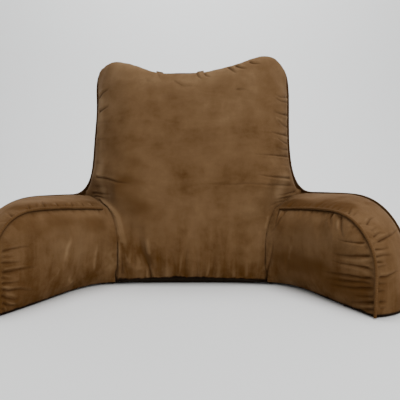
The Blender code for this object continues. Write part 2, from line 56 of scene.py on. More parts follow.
# The net of squares that each cover is made of
NET = {"backrest": 0.0058, "arm_right": 0.0048, "arm_left": 0.0048}  # side of a square before halving
NET_WELD = 0.38  # points nearer than this share of a square become one
EVEN_TURNS = 14  # smooths the flats of the solids away
FORM_TURNS = 14  # the form that this smoothing takes away is given back at this softness
FORM_PASSES = 3
SEAM_SNAP = 0.62  # share of a square within which a point is drawn onto a seam
SEAM_TOUCH = 0.0002  # a point this near a seam is on it
FINE_REACH = 0.006  # the net is halved once more this near a crease
FINE_DEPTH = 0.0015  # that is deeper than this
HIDDEN_NEAR = 0.002  # cloth this near another body doesn't show
HIDDEN_LOW = 0.001  # nor does cloth this near the floor
CLOTH_FLOOR = 0.0002  # the cloth's lowest points
CORD_FLOOR = 0.0005  # and the cords'

# Which edges of the solids are seams
SEAM_ANGLE = math.radians(32)
SEAM_STEP = 0.001
PIPED_NEAR = 0.0015  # an edge this near a cord is a piped seam
JOINT_NEAR = 0.0008  # one this near another body is where the two are sewn together
BOTTOM_SEAM_TOP = 0.016  # and any other edge below this is the base's seam

# How the cloth settles over its filling
SPARE_CLOTH = 0.07  # share by which the cut cloth is longer than the form it covers
SETTLE_FRAMES = 20
SETTLE_LIMIT = 0.006
FLOOR_HOLD = 0.0025  # cloth below this is held
SWELL_TURNS = 60  # smooths the wrinkles away, which leaves the even swelling
SWELL_SHARE = 0.15  # how much of that swelling is kept
WRINKLE_REACH = 0.045  # the wrinkles are strongest this near a seam
WRINKLE_REST = 0.30  # and this share of them is left in the middle of a panel
LUMPS = ((14.0, 2.0, 0.0014), (34.0, 7.0, 0.0006))  # of the filling: bumps a metre, offset, height
LUMP_RISE = (0.002, 0.03)  # they rise between these distances from a seam

# Puckers that run from a seam into the cloth: spacing, reach, depth, half widths and seed
FINE_PUCKER = (0.0014, 0.0026)
SOFT_PUCKER = (0.0032, 0.0052)
CORD_PUCKERS = ((0.009, 0.022, 0.0018, FINE_PUCKER, 10), (0.014, 0.036, 0.0022, SOFT_PUCKER, 40))
BOTTOM_PUCKERS = (0.012, 0.022, 0.0020, FINE_PUCKER, 21)
JOINT_PUCKERS = (0.012, 0.018, 0.0014, FINE_PUCKER, 31)
PUCKER_START = (0.0026, 0.0075)  # a pucker deepens between these distances from its seam
PUCKER_LEAN = 0.5  # most that it runs sideways, as a share of its length
PUCKER_SPREAD = {"spacing": (0.45, 1.7), "reach": (0.4, 1.3), "depth": (0.25, 1.0)}  # as shares
SEAM_REST = 0.003  # creases fade out this near a seam without a cord
TUCK_FULL = 0.004  # depth at which the painted shade of a tuck is as dark as it gets, and the painted highlight of a ridge as light

# Grooves beside the cords, with painted shade in them: distance from the cord's middle up to which each is
# full, and its fade
OUTLINE_GROOVE = (0.0026, 0.0008)
ARM_GROOVE = (0.0030, 0.0012)
ARM_GROOVE_DIP = (0.0028, 0.0018)
ARM_GROOVE_DEPTH = 0.0010
OUTLINE_GROOVE_SHADE = 0.8
STRIP_GROOVE_SHADE = 0.35  # on the strip's side of an arm's cord

# How the cloth is drawn to the cords
CORD_REACH = 0.005  # cloth this near a cord's middle is drawn to it
CORD_DEPTH = 0.0018  # and ends this far from its middle
PULL_FULL = 0.64  # share of that reach within which it is drawn all the way
SHOULDER_REACH = 0.012  # size of the corner between an arm and the back rest's side
CORNER_REACH = 0.006  # how much further the cloth is drawn there
JOINT_SPARE = 0.0005  # cloth this near a joint isn't drawn, but for the corner's

# The joint between back rest and arm
JOINT_EDGE = 0.0012  # cloth this near the edge of a joint
JOINT_CLOSE = 0.9  # is moved this share of the way to the other body, so that the two meet
JOINT_DIP = (0.0010, 0.0030)  # depth and half width of the dip along it
JOINT_LOW = (0.11, 0.06)  # heights between which it comes to show fully
JOINT_HIGH_DIP = 0.4  # share of its dip that the right joint has above them; the left one has none
JOINT_SHADE = 0.0016  # half width of its painted shade
JOINT_SHADES = (0.75, 0.25)  # strength of that painted shade below those heights, and above them on the right
JOINT_FILL = {"left": 0.0075, "right": 0.0032}  # how far the cloth bridges its corner
JOINT_FILL_REACH = 0.012
JOINT_FILL_WAY = (0.25, -0.75, 0.61)  # inwards, forwards and up
JOINT_FILL_REAR = (0.126, 0.108)  # it fades in between these places from the rear
JOINT_FILL_FOOT = (0.02, 0.09)  # and between these heights

# Painted shade along the foot, where the cloth meets the floor: its height on an arm and on the back rest,
# where it bows up a little
BAND = {"arm": 0.0068, "backrest": 0.0150, "bow": 0.0042, "bow_at": -0.015, "bow_half": 0.085}
BAND_FADE = 0.0022
BAND_RIPPLE = ((90.0, 4.0, 0.0012), (260.0, 9.0, 0.0009))  # bumps a metre, offset, height

PIPING_RADIUS = 0.0024
PIPING_TAIL = 0.0065  # the seam allowance that runs from the cord into the seam
PIPING_TAIL_HALF = 0.0007
PIPING_STEP = 0.0020
END_RING = 0.0004  # points of a cord's solid this near its lowest one are in its end ring

HANDLE_THICKNESS = 0.0024
HANDLE_STATIONS = 61
HANDLE_END = 0.014  # length of each end, folded under and sewn down
HANDLE_FOLD = 0.0015  # half the length over which the fold steps down
HANDLE_RISE = (0.0015, 0.03)  # how far its middle lifts off the crest, and over which length
HANDLE_GAP = 0.0004
HANDLE_SECTION = (
    (-1, 0.0), (-1.03, 0.5), (-0.97, 0.95), (-0.85, 0.80), (-0.4, 0.92), (0, 0.96),
    (0.4, 0.92), (0.85, 0.80), (0.97, 0.95), (1.03, 0.5), (1, 0.0))  # across and up, from 0 to 1
THREAD_RADIUS = 0.0004
STITCH = 0.0032
STITCH_GAP = 0.0012
STITCH_INSET = 0.003  # from the edges of the folded end
STITCH_FORM = ((0, 0.35, -1.2), (0.2, 0.9, -0.2), (0.5, 1.0, 0.1), (0.8, 0.9, -0.2), (1, 0.35, -1.2))

# ---- Creases, nap marks and painted light and shade ----------------------------------------------

SIGHTS_A_PIXEL = 4
CREASE_STEP = 0.001
PATH_TURNS = 4  # smooths a line on the solids
FACING_TURNS = 20  # smooths the way that the cloth faces along it
SAME_SIDE = 0.3  # cosine of the turn beyond which cloth is on the solid's other side
CREASE_REACH = 6  # how far a crease is felt to its sides, in its half widths
MARK_REACH = 2.5
RIDGE = (2.2, 1.3)  # of cloth beside a crease, in the crease's half widths: place and half width
FAR_RIDGE = (-2.4, 1.4)  # the lower one on its other side
LINE_DEPTH = 0.003  # a crease this deep has a full line of painted shade
LINE_WIDTHS = (0.0042, 0.0028)  # that comes in between these half widths
BROAD_MARK = 0.012  # a mark with a half width above this is a soft patch

# Depth and half width in millimetres, and then where the crease shows in the photograph, in its
# pixels, from its deep end to where it fades. A crease of negative depth is a ridge.
CREASES = [
    # crest and ears
    (1.6, 2.2, (158, 73), (159, 76), (161, 80)),
    (3.2, 2.4, (197, 72.5), (198, 76), (202, 79)),
    (2.4, 2, (204, 73), (206, 75.5), (211, 77)),
    (3.4, 2.6, (228, 67), (232, 70), (237, 73.5)),
    (3.6, 2.6, (235, 65), (240, 67.5), (247, 68.5)),
    (3, 2.4, (249, 61), (253, 63), (261, 63.5)),
    (1.6, 3.5, (173, 80), (183, 86), (197, 86)),
    (1.6, 2.6, (236, 89), (247, 89.5)),
    (1, 3, (146, 80), (154, 82)),
    # right edge of the back rest
    (3, 2.2, (287, 97), (281, 97), (274, 94.5)),
    (3, 2, (287, 102), (281, 101), (275, 98)),
    (4, 2.6, (287, 115), (280, 113.5), (273, 111)),
    (3.2, 2.4, (287, 127), (282, 124), (277, 119)),
    (4.4, 2.6, (288, 135.5), (281, 134), (271, 132)),
    (3, 2.2, (288, 144), (282, 141), (277, 137.5)),
    (2.4, 2.2, (289, 150), (282, 149), (276, 147)),
    (3.4, 2, (289, 156.5), (272, 155), (255, 154.5)),
    (1.2, 2.6, (289, 165), (280, 164), (270, 164)),
    (3.8, 2.2, (291, 178.5), (270, 176.4), (257, 174.5)),
    (1.8, 2.4, (294, 185.5), (271, 185), (249, 183.3), (228, 185), (207, 184)),
    (2.2, 2.2, (296, 191.5), (285, 195), (276, 196)),
    (2.6, 2.2, (293, 197), (285, 198.6), (275, 200.5)),
    (1.8, 2.4, (290, 200), (278, 203), (268, 207)),
    # left edge of the back rest
    (4.6, 3, (98, 99), (103, 92.5), (109, 89)),
    (4, 2.8, (99, 112), (104, 108.5), (109, 106)),
    (1, 3, (97, 123), (105, 122), (114, 122)),
    (1.2, 2.4, (96, 140), (103, 139), (108, 139)),
    (1.2, 2.8, (96, 162.5), (105, 164.5)),
    (3.4, 2.4, (95, 177), (106, 178.6), (117, 182), (131, 183.6)),
    (1.4, 2.6, (94, 186), (103, 187), (112, 189)),
    (2.6, 2.2, (92, 193), (103, 194.2), (112, 194.8)),
    (2, 2.4, (94, 197), (101, 198), (108, 200)),
    # the fold at the lower left, and the gathers along the bottom
    (5, 2.6, (151, 278.5), (150, 271.5), (147.5, 264)),
    (3.4, 6.2, (149, 268), (145.5, 260), (142.3, 253), (140.5, 244), (138, 235)),
    (-1.6, 5, (149.5, 257), (148, 248), (146.5, 234)),
    (2.2, 4, (134, 264), (134, 254), (133.5, 245)),
    (1.8, 4, (124, 268), (124, 258), (123, 247)),
    (2, 5.2, (160, 278), (161, 266), (160, 252)),
    (3, 7, (176, 279), (174.5, 266), (170, 249)),
    (3.2, 4.2, (184, 278), (184.5, 266), (186, 253), (187.5, 241)),
    (2.2, 3.8, (197, 278), (197.5, 266), (196.5, 250)),
    (1.6, 3.6, (204, 278), (204.5, 266), (205, 254)),
    (3.4, 4, (211, 278), (213.5, 266), (213.4, 252)),
    (2.2, 5.6, (226, 278), (226, 266), (223, 250)),
    (2, 5.6, (240, 278), (240, 268), (238, 252)),
    (2.4, 5, (252, 278), (252, 266), (250, 252)),
    # the seam between back rest and left arm, and the ridge that runs over it from the shoulder
    (-4.2, 6.5, (97, 199), (107, 206), (114.5, 213), (118, 221), (120, 232), (124, 243), (128, 257)),
    (2.4, 2.2, (99, 201), (103, 204.5), (107, 209)),
    (2.2, 2.6, (121.5, 275), (122, 264), (121.5, 252)),
    (-1.8, 4, (118, 262), (118.5, 250), (116, 238)),
    # the seam between back rest and right arm
    (2.4, 2.4, (278.5, 211), (276.5, 219.5), (274, 228)),
    (1.8, 2.6, (281, 216), (276.5, 225), (270, 234)),
    (2.6, 3, (266, 274), (269.5, 263), (272, 252), (273, 241)),
    (1.4, 4, (287, 274), (287.5, 262), (287, 252)),
    # inner face of the right arm
    (2, 3, (332, 213), (330, 218), (331, 227)),
    (2.4, 2.8, (341, 215), (340.5, 228), (342.5, 238)),
    (-1.4, 3.4, (338, 217), (338, 233)),
    (2.6, 1.8, (366, 243), (357.5, 243), (346.5, 241.7), (337, 240)),
    (3.6, 3, (372, 256), (354, 256), (340, 255), (332, 252.5)),
    (3, 2.4, (371.5, 269), (362, 267), (353, 265), (340, 263), (330, 260)),
    (3.8, 2.4, (373.5, 278), (362, 277.8), (351, 275.6), (337.5, 273.3), (322, 271)),
    (2.8, 2.2, (372, 283.5), (360, 281.8), (354, 281.4), (340, 280), (326, 278)),
    (3.4, 2.6, (374, 288), (354, 288), (340, 286), (330, 284)),
    (2.2, 2.2, (374, 296.5), (363, 296), (352, 295.5)),
    (3.6, 2.6, (375, 302.3), (362, 302.6), (349, 302)),
    (3, 2.4, (375.5, 309.5), (365, 309.5), (355, 309)),
    # strip of the right arm
    (2.2, 2, (348.5, 214), (350, 210.5), (351.5, 207.5)),
    (1.4, 2, (353, 216), (356, 212), (359, 210)),
    (2.6, 2.2, (367, 224.5), (370.3, 219), (374.5, 216.5)),
    (1.4, 2, (371, 231), (375, 228), (379, 227)),
    (2.2, 2, (373.5, 237), (378, 233.5), (383, 232)),
    (2.6, 2.4, (376, 243), (383, 239.5), (393, 234), (398, 229)),
    (2.4, 2, (374.5, 249.5), (382, 249.4), (389, 248)),
    (2.6, 2.2, (375.5, 257.2), (383, 255), (392, 255)),
    (1.6, 1.8, (376.5, 262), (384, 262.8)),
    (2, 2, (377.5, 267.3), (387, 265)),
    (3.6, 2.4, (378.5, 277.3), (387.6, 276.7), (394, 273), (399.5, 270.5)),
    (1.8, 2, (378.5, 284), (387, 284)),
    (2, 2, (378.5, 291.8), (386, 291.4)),
    (2.4, 2.2, (379.5, 302.3), (388, 302.3)),
    (1.6, 2, (379.8, 309.4), (387, 307.2)),
    # inner face of the left arm
    (2.6, 1.8, (1, 251.7), (10, 249.4), (22, 247), (31, 246.3)),
    (1.4, 2, (1, 257.5), (8, 257), (15, 256)),
    (2.6, 2.2, (1, 263), (10, 263), (22, 261.5)),
    (3.4, 2.4, (1, 272.3), (6.7, 272.2), (20, 269.2), (35, 267)),
    (1.8, 2.2, (1, 277.5), (8, 279.5), (14, 279)),
    (2.6, 2.2, (1, 284), (12, 283.3), (22, 281.7)),
    (3, 2.4, (1, 290), (8, 291), (20, 289.4), (34, 290.3)),
    (3.6, 3, (1, 295.5), (7, 298.5), (14.5, 300), (21.5, 298.3)),
    (3.2, 2.4, (2, 303), (9, 306), (19, 306)),
    (2.4, 2, (2, 308), (5, 312)),
    # strip of the left arm
    (2.6, 2.2, (14.5, 217.5), (11, 215.5), (7.5, 212)),
    (2.4, 2, (30, 208.5), (28, 204)),
    (1.6, 1.8, (37, 207.5), (35.5, 203)),
    (2.6, 2, (45, 206.8), (43, 202.5), (42, 200.5)),
    (1.4, 1.8, (52, 206.5), (51, 203)),
    (3, 2, (59, 207), (57.5, 204.5), (56, 202)),
    (1.6, 1.8, (66, 206.5), (65, 203)),
    (2.6, 1.8, (73, 206.8), (71.5, 202)),
    (2.8, 1.8, (84, 206.8), (82, 202.5)),
    (1.8, 1.8, (93, 206.5), (91, 202.5)),
]

# How strongly each mark paints the cloth pale, or below 0 dark, the half width in millimetres, and then the
# same pixels. Besides brushed nap, they paint highlights on ridges and broad patches of light and shade.
MARKS = [
    (0.22, 36, (232, 198), (262, 206)),
    (0.25, 24, (235, 248), (255, 250)),
    # painted shade on the middle left of the back rest
    (-0.85, 34, (120, 188), (140, 206)),
    (-0.55, 34, (108, 144), (130, 162)),
    # painted highlights on the puckers by the right edge
    (0.6, 4.5, (286, 88), (287, 105), (286.5, 125), (287, 150)),
    (0.45, 3, (275, 117), (283, 120.5)),
    (0.4, 3, (275, 100), (282, 104)),
    (-0.4, 26, (126, 240), (146, 262)),
    (-0.32, 24, (170, 252), (215, 254)),
    (-0.45, 24, (262, 68), (272, 84)),
    (0.25, 24, (245, 262), (262, 262)),
    # painted light along the left edge and shoulder
    (0.62, 18, (101, 100), (101, 130), (101, 165)),
    (0.95, 17, (99, 178), (104, 190)),
    (0.85, 20, (286, 178), (278, 192)),
    (0.25, 14, (283, 104), (284, 150)),
    (0.45, 12.5, (106, 202), (111, 212)),
    (-0.45, 12.5, (196, 74), (204, 76)),
    (0.25, 30, (246, 214), (258, 232)),
    (0.2, 24, (112, 72), (122, 80)),
    (0.42, 30, (60, 246), (80, 250)),
    # painted shade on the arms' inner faces and strips
    (-1.15, 36, (288, 262), (330, 278), (354, 290)),
    (-0.6, 26, (286, 224), (325, 222)),
    (-1.3, 21, (290, 203), (345, 206)),
    (-0.85, 18, (15, 207), (92, 203)),
    (-0.75, 22, (18, 224), (100, 224)),
    (-0.3, 20, (20, 286), (66, 274)),
    (-0.4, 24, (388, 245), (390, 300)),
    # thin pale streaks: painted highlights on the ridges of folds
    (0.42, 3.9, (72, 229), (71, 239.5), (67, 248), (65.6, 257), (63, 264)),
    (0.55, 4.5, (60.5, 266), (57.8, 273), (51, 281), (47, 285)),
    (0.6, 5.4, (71, 273), (69, 279), (72.5, 284)),
    (0.62, 3.6, (98.3, 242), (96.7, 250.5), (94.5, 262), (94, 273)),
    (0.42, 10.5, (108, 244), (107.5, 258), (108, 275)),
    (0.59, 3.3, (116, 243), (118, 255), (117.5, 272)),
    (0.38, 7.5, (112, 246), (113, 258), (112.5, 274)),
    (0.59, 3.6, (123, 247), (126.5, 258), (129.3, 264)),
    (0.38, 5.4, (119, 228), (121, 238), (124.5, 248)),
    (0.42, 3.6, (134.5, 248), (134.5, 263)),
    (0.3, 4.5, (147, 236), (148, 248), (149.5, 258)),
    (0.3, 3.6, (209, 245), (210.5, 260)),
    (0.21, 3.9, (192, 247), (192, 262)),
    (0.42, 3.3, (292, 244), (289.3, 253), (288.7, 262)),
    (0.47, 2.7, (269.3, 215), (266, 225), (265, 232)),
    (0.38, 3.9, (338.7, 217), (338.7, 233)),
    (0.34, 3, (326, 220.5), (326.4, 228.5)),
    (0.26, 3.3, (322, 245), (321, 262)),
    (0.26, 7.5, (38, 213), (44, 222), (46, 230)),
    (0.21, 6, (272, 190), (262, 192), (252, 194)),
    (0.38, 2.7, (272, 138), (280, 139.5)),
    # painted highlights between the gathers of the left arm's strip
    (0.5, 2.4, (55, 205), (53.5, 202.5)),
    (0.5, 2.4, (69.5, 205), (68.5, 202)),
    (0.45, 2.4, (80, 205), (78.5, 202)),
    (0.45, 2.4, (41, 206), (39.5, 203)),
    (0.45, 2.6, (90, 205), (88, 202.5)),
]

# ---- Colours, linear -----------------------------------------------------------------------------

SUEDE_LIGHT = (0.200, 0.124, 0.063, 1)
SUEDE_MIDDLE = (0.131, 0.073, 0.033, 1)
SUEDE_DARK = (0.058, 0.0225, 0.0028, 1)
SUEDE_PALE = (0.250, 0.160, 0.084, 1)  # where the nap is brushed up, and for painted highlights and painted light
# dark brown for painted shade in seams, grooves, joints, creases and along the foot; also the darker strands
# of the thread
SEAM_SHADE = (0.022, 0.0075, 0.0022, 1)
PAINTED_FOOT_SHADE = (0.003, 0.002, 0.001, 1)  # painted shade along the foot, where the cloth meets the floor
FLOOR_COLOUR = (0.88, 0.89, 0.89, 1)
SKY_COLOUR = (0.83, 0.83, 0.83, 1)
SKY_STRENGTH = 0.75

# Name, place, aim, size, watts and colour
LIGHTS = (
    ("window", (1.3, -1.9, 1.6), (0, 0, 0.2), 1.6, 37.5, (1.0, 0.98, 0.95)),
    ("ceiling", (0.2, -0.3, 2.3), (0, 0, 0.2), 1.8, 9, (0.96, 0.98, 1.0)),
    ("backdrop", (0, 0.5, 2.6), (0, 2.2, 0.6), 1.6, 54, (0.98, 0.99, 1.0)),
)

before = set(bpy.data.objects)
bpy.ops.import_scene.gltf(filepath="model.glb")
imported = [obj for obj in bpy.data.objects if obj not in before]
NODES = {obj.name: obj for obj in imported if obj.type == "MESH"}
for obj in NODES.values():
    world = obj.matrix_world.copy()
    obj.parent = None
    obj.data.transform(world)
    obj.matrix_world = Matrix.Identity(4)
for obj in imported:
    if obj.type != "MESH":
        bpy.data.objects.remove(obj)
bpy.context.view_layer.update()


# ---- Meshes and arrays ---------------------------------------------------------------------------

def new_object(name, data):
    item = bpy.data.objects.new(name, data)
    bpy.context.scene.collection.objects.link(item)
    return item


def mesh_from(name, points, faces):
    mesh = bpy.data.meshes.new(name)
    mesh.from_pydata([tuple(point) for point in points], [], faces)
    mesh.update()
    return mesh


def vectors_of(parts, kind):
    """One vector of each of a mesh's parts, as rows."""
    flat = np.empty(len(parts) * 3, np.float32)
    parts.foreach_get(kind, flat)
    return flat.reshape(-1, 3).astype(float)


def points_of(mesh):
    return vectors_of(mesh.vertices, "co")


def normals_of(mesh):
    return vectors_of(mesh.vertex_normals, "vector")


def centres_of(mesh):
    return vectors_of(mesh.polygons, "center")


def edge_ends(mesh):
    ends = np.empty(len(mesh.edges) * 2, np.int32)
    mesh.edges.foreach_get("vertices", ends)
    return ends.reshape(-1, 2)


def set_points(mesh, points):
    mesh.vertices.foreach_set("co", points.astype(np.float32).ravel())
    mesh.update()


def add_attribute(mesh, name, values):
    layer = mesh.attributes.new(name, "FLOAT", "POINT")
    layer.data.foreach_set("value", values.astype(np.float32))


def welded(mesh, distance):
    """A mesh opened for editing, with the points that are this near each other made one."""
    opened = bmesh.new()
    opened.from_mesh(mesh)
    bmesh.ops.remove_doubles(opened, verts=opened.verts, dist=distance)
    return opened


def apply_modifiers(item):
    evaluated = item.evaluated_get(bpy.context.evaluated_depsgraph_get())
    mesh = bpy.data.meshes.new_from_object(evaluated)
    item.modifiers.clear()
    old = item.data
    item.data = mesh
    bpy.data.meshes.remove(old)


def tree_of(mesh):
    return BVHTree.FromPolygons([v.co for v in mesh.vertices], [p.vertices for p in mesh.polygons])


TREES = {node: tree_of(NODES[node].data) for node in NODES}


def trees_beside(node):
    return [TREES[other] for other in BODIES if other != node]


def nearest_surface(points, trees):
    """Distance to the nearest of the trees' surfaces and the place on it, for each point."""
    distance = np.full(len(points), FAR)
    place = points.copy()
    for index, point in enumerate(points):
        for tree in trees:
            spot, _, _, away = tree.find_nearest(point, distance[index])
            if spot is not None and away < distance[index]:
                distance[index] = away
                place[index] = spot
    return distance, place


def nearest_of(points, choices):
    """Distance to the nearest of the choices and its index, for each point."""
    tree = KDTree(len(choices))
    for index, spot in enumerate(choices):
        tree.insert(spot, index)
    tree.balance()
    found = [tree.find(point) for point in points]
    return np.array([away for _, _, away in found]), np.array([index for _, index, _ in found])


def smooth_step(value, low, high):
    share = np.clip((value - low) / (high - low), 0, 1)
    return share * share * (3 - 2 * share)


def bell(value, half):
    """1 at 0, and falling softly on both sides."""
    return np.exp(-(value / half) ** 2)


def fading(away, full, fade):
    """1 up to a distance, and falling softly beyond it."""
    return bell(np.maximum(away - full, 0), fade)


def unit(rows):
    return rows / np.maximum(np.linalg.norm(rows, axis=-1, keepdims=True), 1e-9)


def dots(first, second):
    return np.einsum("ij,ij->i", first, second)


def averaged(mesh, values, turns, held=None):
    """The values at the mesh's points, drawn to their neighbours' mean turn by turn, but for held ones."""
    first, second = edge_ends(mesh).T
    count = np.bincount(first, minlength=len(values)) + np.bincount(second, minlength=len(values))
    share = np.full((len(values), 1), 0.5)
    if held is not None:
        share[held] = 0
    for _ in range(turns):
        total = np.stack([
            np.bincount(first, column[second], len(values)) + np.bincount(second, column[first], len(values))
            for column in values.T], axis=1)
        values = (1 - share) * values + share * total / count[:, None]
    return values


def softened(rows, turns):
    """A line's points, drawn to their neighbours' mean turn by turn, but for the two ends."""
    rows = rows.copy()
    for _ in range(turns):
        rows[1:-1] += 0.5 * ((rows[:-2] + rows[2:]) / 2 - rows[1:-1])
    return rows


def noise_at(points, scale, offset):
    """Soft noise from about -1 to 1 at each point; scale is in bumps a metre."""
    shift = Vector((offset, offset * 0.7, -offset))
    return np.array([noise.noise(Vector(point) * scale + shift) for point in points])


def bumps_at(points, layers):
    """Height of layers of noise, each given as bumps a metre, offset and height."""
    return sum(noise_at(points, scale, offset) * height for scale, offset, height in layers)


def lengths_along(rows):
    """Length along a line of points, at each of them."""
    return np.concatenate([[0], np.cumsum(np.linalg.norm(np.diff(rows, axis=0), axis=1))])


def read_at(places, lengths, rows):
    """The rows that lie at some lengths along a line, read off at other places along it."""
    return np.stack([np.interp(places, lengths, column) for column in rows.T], axis=1)


# ---- Seams and creases ---------------------------------------------------------------------------

def sharp_edges(node):
    """Points along the sharp edges of a filled body's solid."""
    mesh = welded(NODES[node].data, SAME_PLACE)
    points = []
    for edge in mesh.edges:
        if len(edge.link_faces) == 2 and edge.calc_face_angle() > SEAM_ANGLE:
            start, end = (np.array(vert.co) for vert in edge.verts)
            steps = max(1, round(np.linalg.norm(end - start) / SEAM_STEP))
            points += [start + (end - start) * share for share in np.linspace(0, 1, steps, endpoint=False)]
    mesh.free()
    return np.array(points)


def seams_of(node, cords):
    """Points along a body's seams: all of them, those sewn to another body, and those round its base."""
    points = sharp_edges(node)
    near_body, _ = nearest_surface(points, trees_beside(node))
    near_cord, _ = nearest_surface(points, [TREES[name] for name in cords])
    is_joint = near_body < JOINT_NEAR
    is_bottom = (points[:, 2] < BOTTOM_SEAM_TOP) & ~is_joint
    is_seam = is_joint | is_bottom | (near_cord < PIPED_NEAR)
    return points[is_seam], points[is_joint], points[is_bottom]


def sight_of(places):
    """Directions in which the eye sees places in the photograph's pixels."""
    across, down = (np.asarray(places, float) - PICTURE_PIXELS / 2).T / FOCAL_PIXELS
    ahead = (math.cos(EYE_PITCH), -math.sin(EYE_PITCH))
    above = (math.sin(EYE_PITCH), math.cos(EYE_PITCH))
    return np.stack([across, ahead[0] - down * above[0], ahead[1] - down * above[1]], axis=1)


def seen_path(places):
    """Even steps over the solids along a line in the photograph's pixels, and the way they face there."""
    places = np.array(places, float)
    lengths = lengths_along(places)
    dense = np.linspace(0, lengths[-1], int(lengths[-1] * SIGHTS_A_PIXEL) + 2)
    spots, facings = [], []
    for sight in sight_of(read_at(dense, lengths, places)):
        hits = [TREES[node].ray_cast(Vector(EYE), Vector(sight)) for node in BODIES]
        hits = [hit for hit in hits if hit[0] is not None]
        if hits:
            spot, facing, _, _ = min(hits, key=lambda hit: hit[3])
            spots.append(spot)
            facings.append(facing)
    spots = np.array(spots)
    facings = unit(softened(np.array(facings), FACING_TURNS))
    steps = lengths_along(spots)
    even = np.linspace(0, steps[-1], max(3, int(steps[-1] / CREASE_STEP)))
    return [softened(read_at(even, steps, rows), PATH_TURNS) for rows in (spots, facings)]


def beside_path(points, normals, path, reach):
    """The points near a path on its side of the cloth, how far beside it each is, and its share along it."""
    spots, facings = path
    low = spots.min(axis=0) - reach
    high = spots.max(axis=0) + reach
    near = np.flatnonzero(np.all((points > low) & (points < high), axis=1))
    gaps = points[near][:, None] - spots[None]
    pick = np.linalg.norm(gaps, axis=2).argmin(axis=1)
    gap = gaps[np.arange(len(near)), pick]
    tangent = unit(np.gradient(spots, axis=0))[pick]
    side = dots(gap, np.cross(facings[pick], tangent))
    beyond = np.where((pick == 0) | (pick == len(spots) - 1), dots(gap, tangent), 0)
    away = np.copysign(np.hypot(side, beyond), side)
    facing = dots(normals[near], facings[pick])
    kept = (np.abs(away) < reach) & (facing > SAME_SIDE) & (np.linalg.norm(gap, axis=1) < 2 * reach)
    return near[kept], away[kept], pick[kept] / (len(spots) - 1)


def ridge_beside(away, width, place, half):
    return bell(away - place * width, half * width)


def crease_depth(points, normals, creases):
    """How deep the creases press each point in, and how deep in a crease's own line of painted shade it
    lies, from 0 to 1.
    """
    depth = np.zeros(len(points))
    line = np.zeros(len(points))
    for path, deepest, width in creases:
        near, away, share = beside_path(points, normals, path, CREASE_REACH * width)
        if deepest < 0:
            fade = smooth_step(share, 0, 0.25) * smooth_step(share, 1, 0.6)
            depth[near] += deepest * fade * bell(away, width)
            continue
        fade = smooth_step(share, -0.02, 0.10) * (1 - share) ** 0.6
        tapered = width * (1.1 - 0.4 * share)
        valley = np.exp(-np.abs(away) / tapered)
        ridge = ridge_beside(away, tapered, *RIDGE)
        ridge += 0.5 * ridge_beside(away, tapered, *FAR_RIDGE)
        depth[near] += deepest * fade * (valley - 0.5 * ridge)
        strength = min(1.0, deepest / LINE_DEPTH) * smooth_step(width, *LINE_WIDTHS)
        line[near] = np.maximum(line[near], strength * fade * bell(away, 0.75 * tapered))
    return depth, np.clip(line, 0, 1)


def pucker_depth(run, away, spacing, reach, depth, widths, seed):
    """Depth of short puckers from a seam into the cloth, uneven in place, length, lean and strength."""
    chance = np.random.RandomState(seed)
    total = np.zeros(len(run))
    order = np.argsort(run)
    ordered = run[order]
    place = ordered[0]
    while place < ordered[-1]:
        place += spacing * chance.uniform(*PUCKER_SPREAD["spacing"])
        own_reach = reach * chance.uniform(*PUCKER_SPREAD["reach"])
        own_depth = depth * chance.uniform(*PUCKER_SPREAD["depth"])
        width = chance.uniform(*widths)
        lean = chance.uniform(-PUCKER_LEAN, PUCKER_LEAN)
        window = 5 * width + own_reach * abs(lean)
        first, last = np.searchsorted(ordered, (place - window, place + window))
        near = order[first:last]
        near = near[away[near] < own_reach]
        offset = run[near] - place - lean * away[near]
        fade = smooth_step(away[near], *PUCKER_START) * (1 - away[near] / own_reach) ** 0.8
        folded = np.exp(-np.abs(offset) / width) - 0.45 * ridge_beside(offset, width, *RIDGE)
        total[near] += own_depth * fade * folded
    return total


def nap_and_painted_light_marks(points, normals, marks):
    """How pale, or below 0 how dark, the nap marks and the painted light and shade make the cloth. Thin
    marks are broken, and soft patches aren't.
    """
    broken = 0.75 + 0.5 * noise_at(points, 110.0, 5.0)
    brushed = 0.80 + 0.45 * noise_at(points * [1, 1, 3], 16.0, 5.0)
    pale = np.zeros(len(points))
    for path, strength, width in marks:
        near, away, share = beside_path(points, normals, path, MARK_REACH * width)
        strengths = strength * bell(away, width)
        if width > BROAD_MARK:
            pale[near] += strengths * brushed[near]
        else:
            pale[near] += strengths * broken[near] * smooth_step(share, 0, 0.2) * smooth_step(share, 1, 0.75)
    return np.clip(pale, -1, 1)


# ---- Filled covers -------------------------------------------------------------------------------

def even_net(node, seam_points):
    """A body's surface as an even net of squares, true to its seams; and which of its points are on them."""
    item = new_object(f"{node}_cover", NODES[node].data.copy())
    net = item.modifiers.new("net", "REMESH")
    net.mode = "VOXEL"
    net.voxel_size = NET[node]
    apply_modifiers(item)
    mesh = welded(item.data, NET_WELD * NET[node])
    mesh.to_mesh(item.data)
    mesh.free()
    _, points = nearest_surface(points_of(item.data), [TREES[node]])
    away, spot = nearest_of(points, seam_points)
    sewn = away < SEAM_SNAP * NET[node]
    points[sewn] = seam_points[spot[sewn]]
    smooth = averaged(item.data, points, EVEN_TURNS, sewn)
    for _ in range(FORM_PASSES):
        lost = averaged(item.data, points - smooth, FORM_TURNS)
        lost[sewn] = 0
        smooth += lost
    set_points(item.data, smooth)
    return item, sewn


